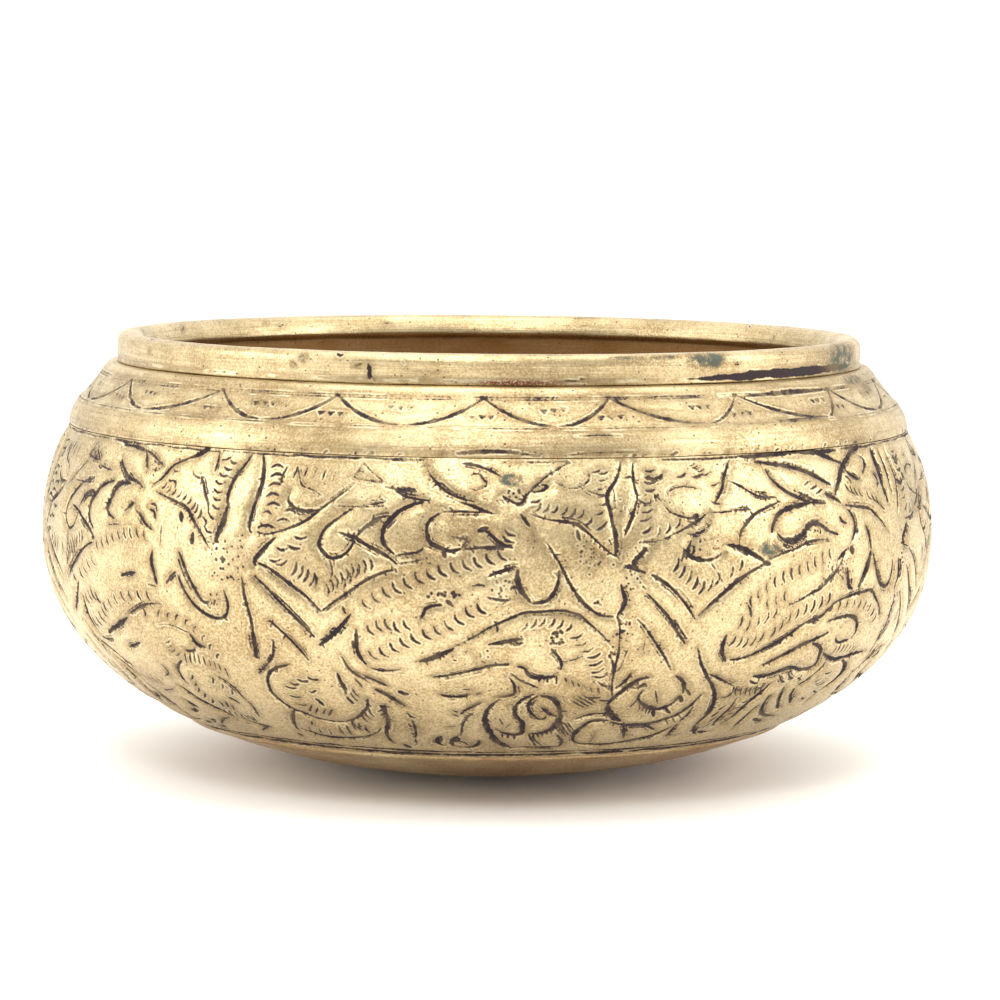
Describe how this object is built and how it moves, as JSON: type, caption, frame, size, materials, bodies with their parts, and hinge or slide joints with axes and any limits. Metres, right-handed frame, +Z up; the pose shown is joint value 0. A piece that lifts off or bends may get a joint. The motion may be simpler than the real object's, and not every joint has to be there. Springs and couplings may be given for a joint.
{
  "type": "brass urli bowl",
  "caption": "Squat round-bellied brass bowl with a thick rim collar, scalloped shoulder, engraved foliage frieze and a shallow flat-footed base.",
  "frame": {"origin": "centre of the flat foot that the bowl stands on", "axes": "+Z up along the bowl's turning axis, out of the mouth; X and Y are any two directions across it"},
  "size_m": [0.18, 0.18, 0.087],
  "materials": {
    "collar_brass": "turned and rubbed bright, worn, tarnished in the crevice under the collar",
    "shoulder_brass": "turned, satin, engraved scallops holding dark tarnish",
    "frieze_brass": "hand engraved, satin high spots and dark tarnish in the cuts",
    "base_brass": "plain turned, mellow, a little darker",
    "braze": "dull reddish filler metal"
  },
  "bodies": {
    "root": {"rim_collar": "collar_brass", "shoulder_ring": "shoulder_brass", "frieze_wall": "frieze_brass", "base_dish": "base_brass", "collar_braze": "braze", "shoulder_braze": "braze", "base_braze": "braze"}
  },
  "joints": []
}
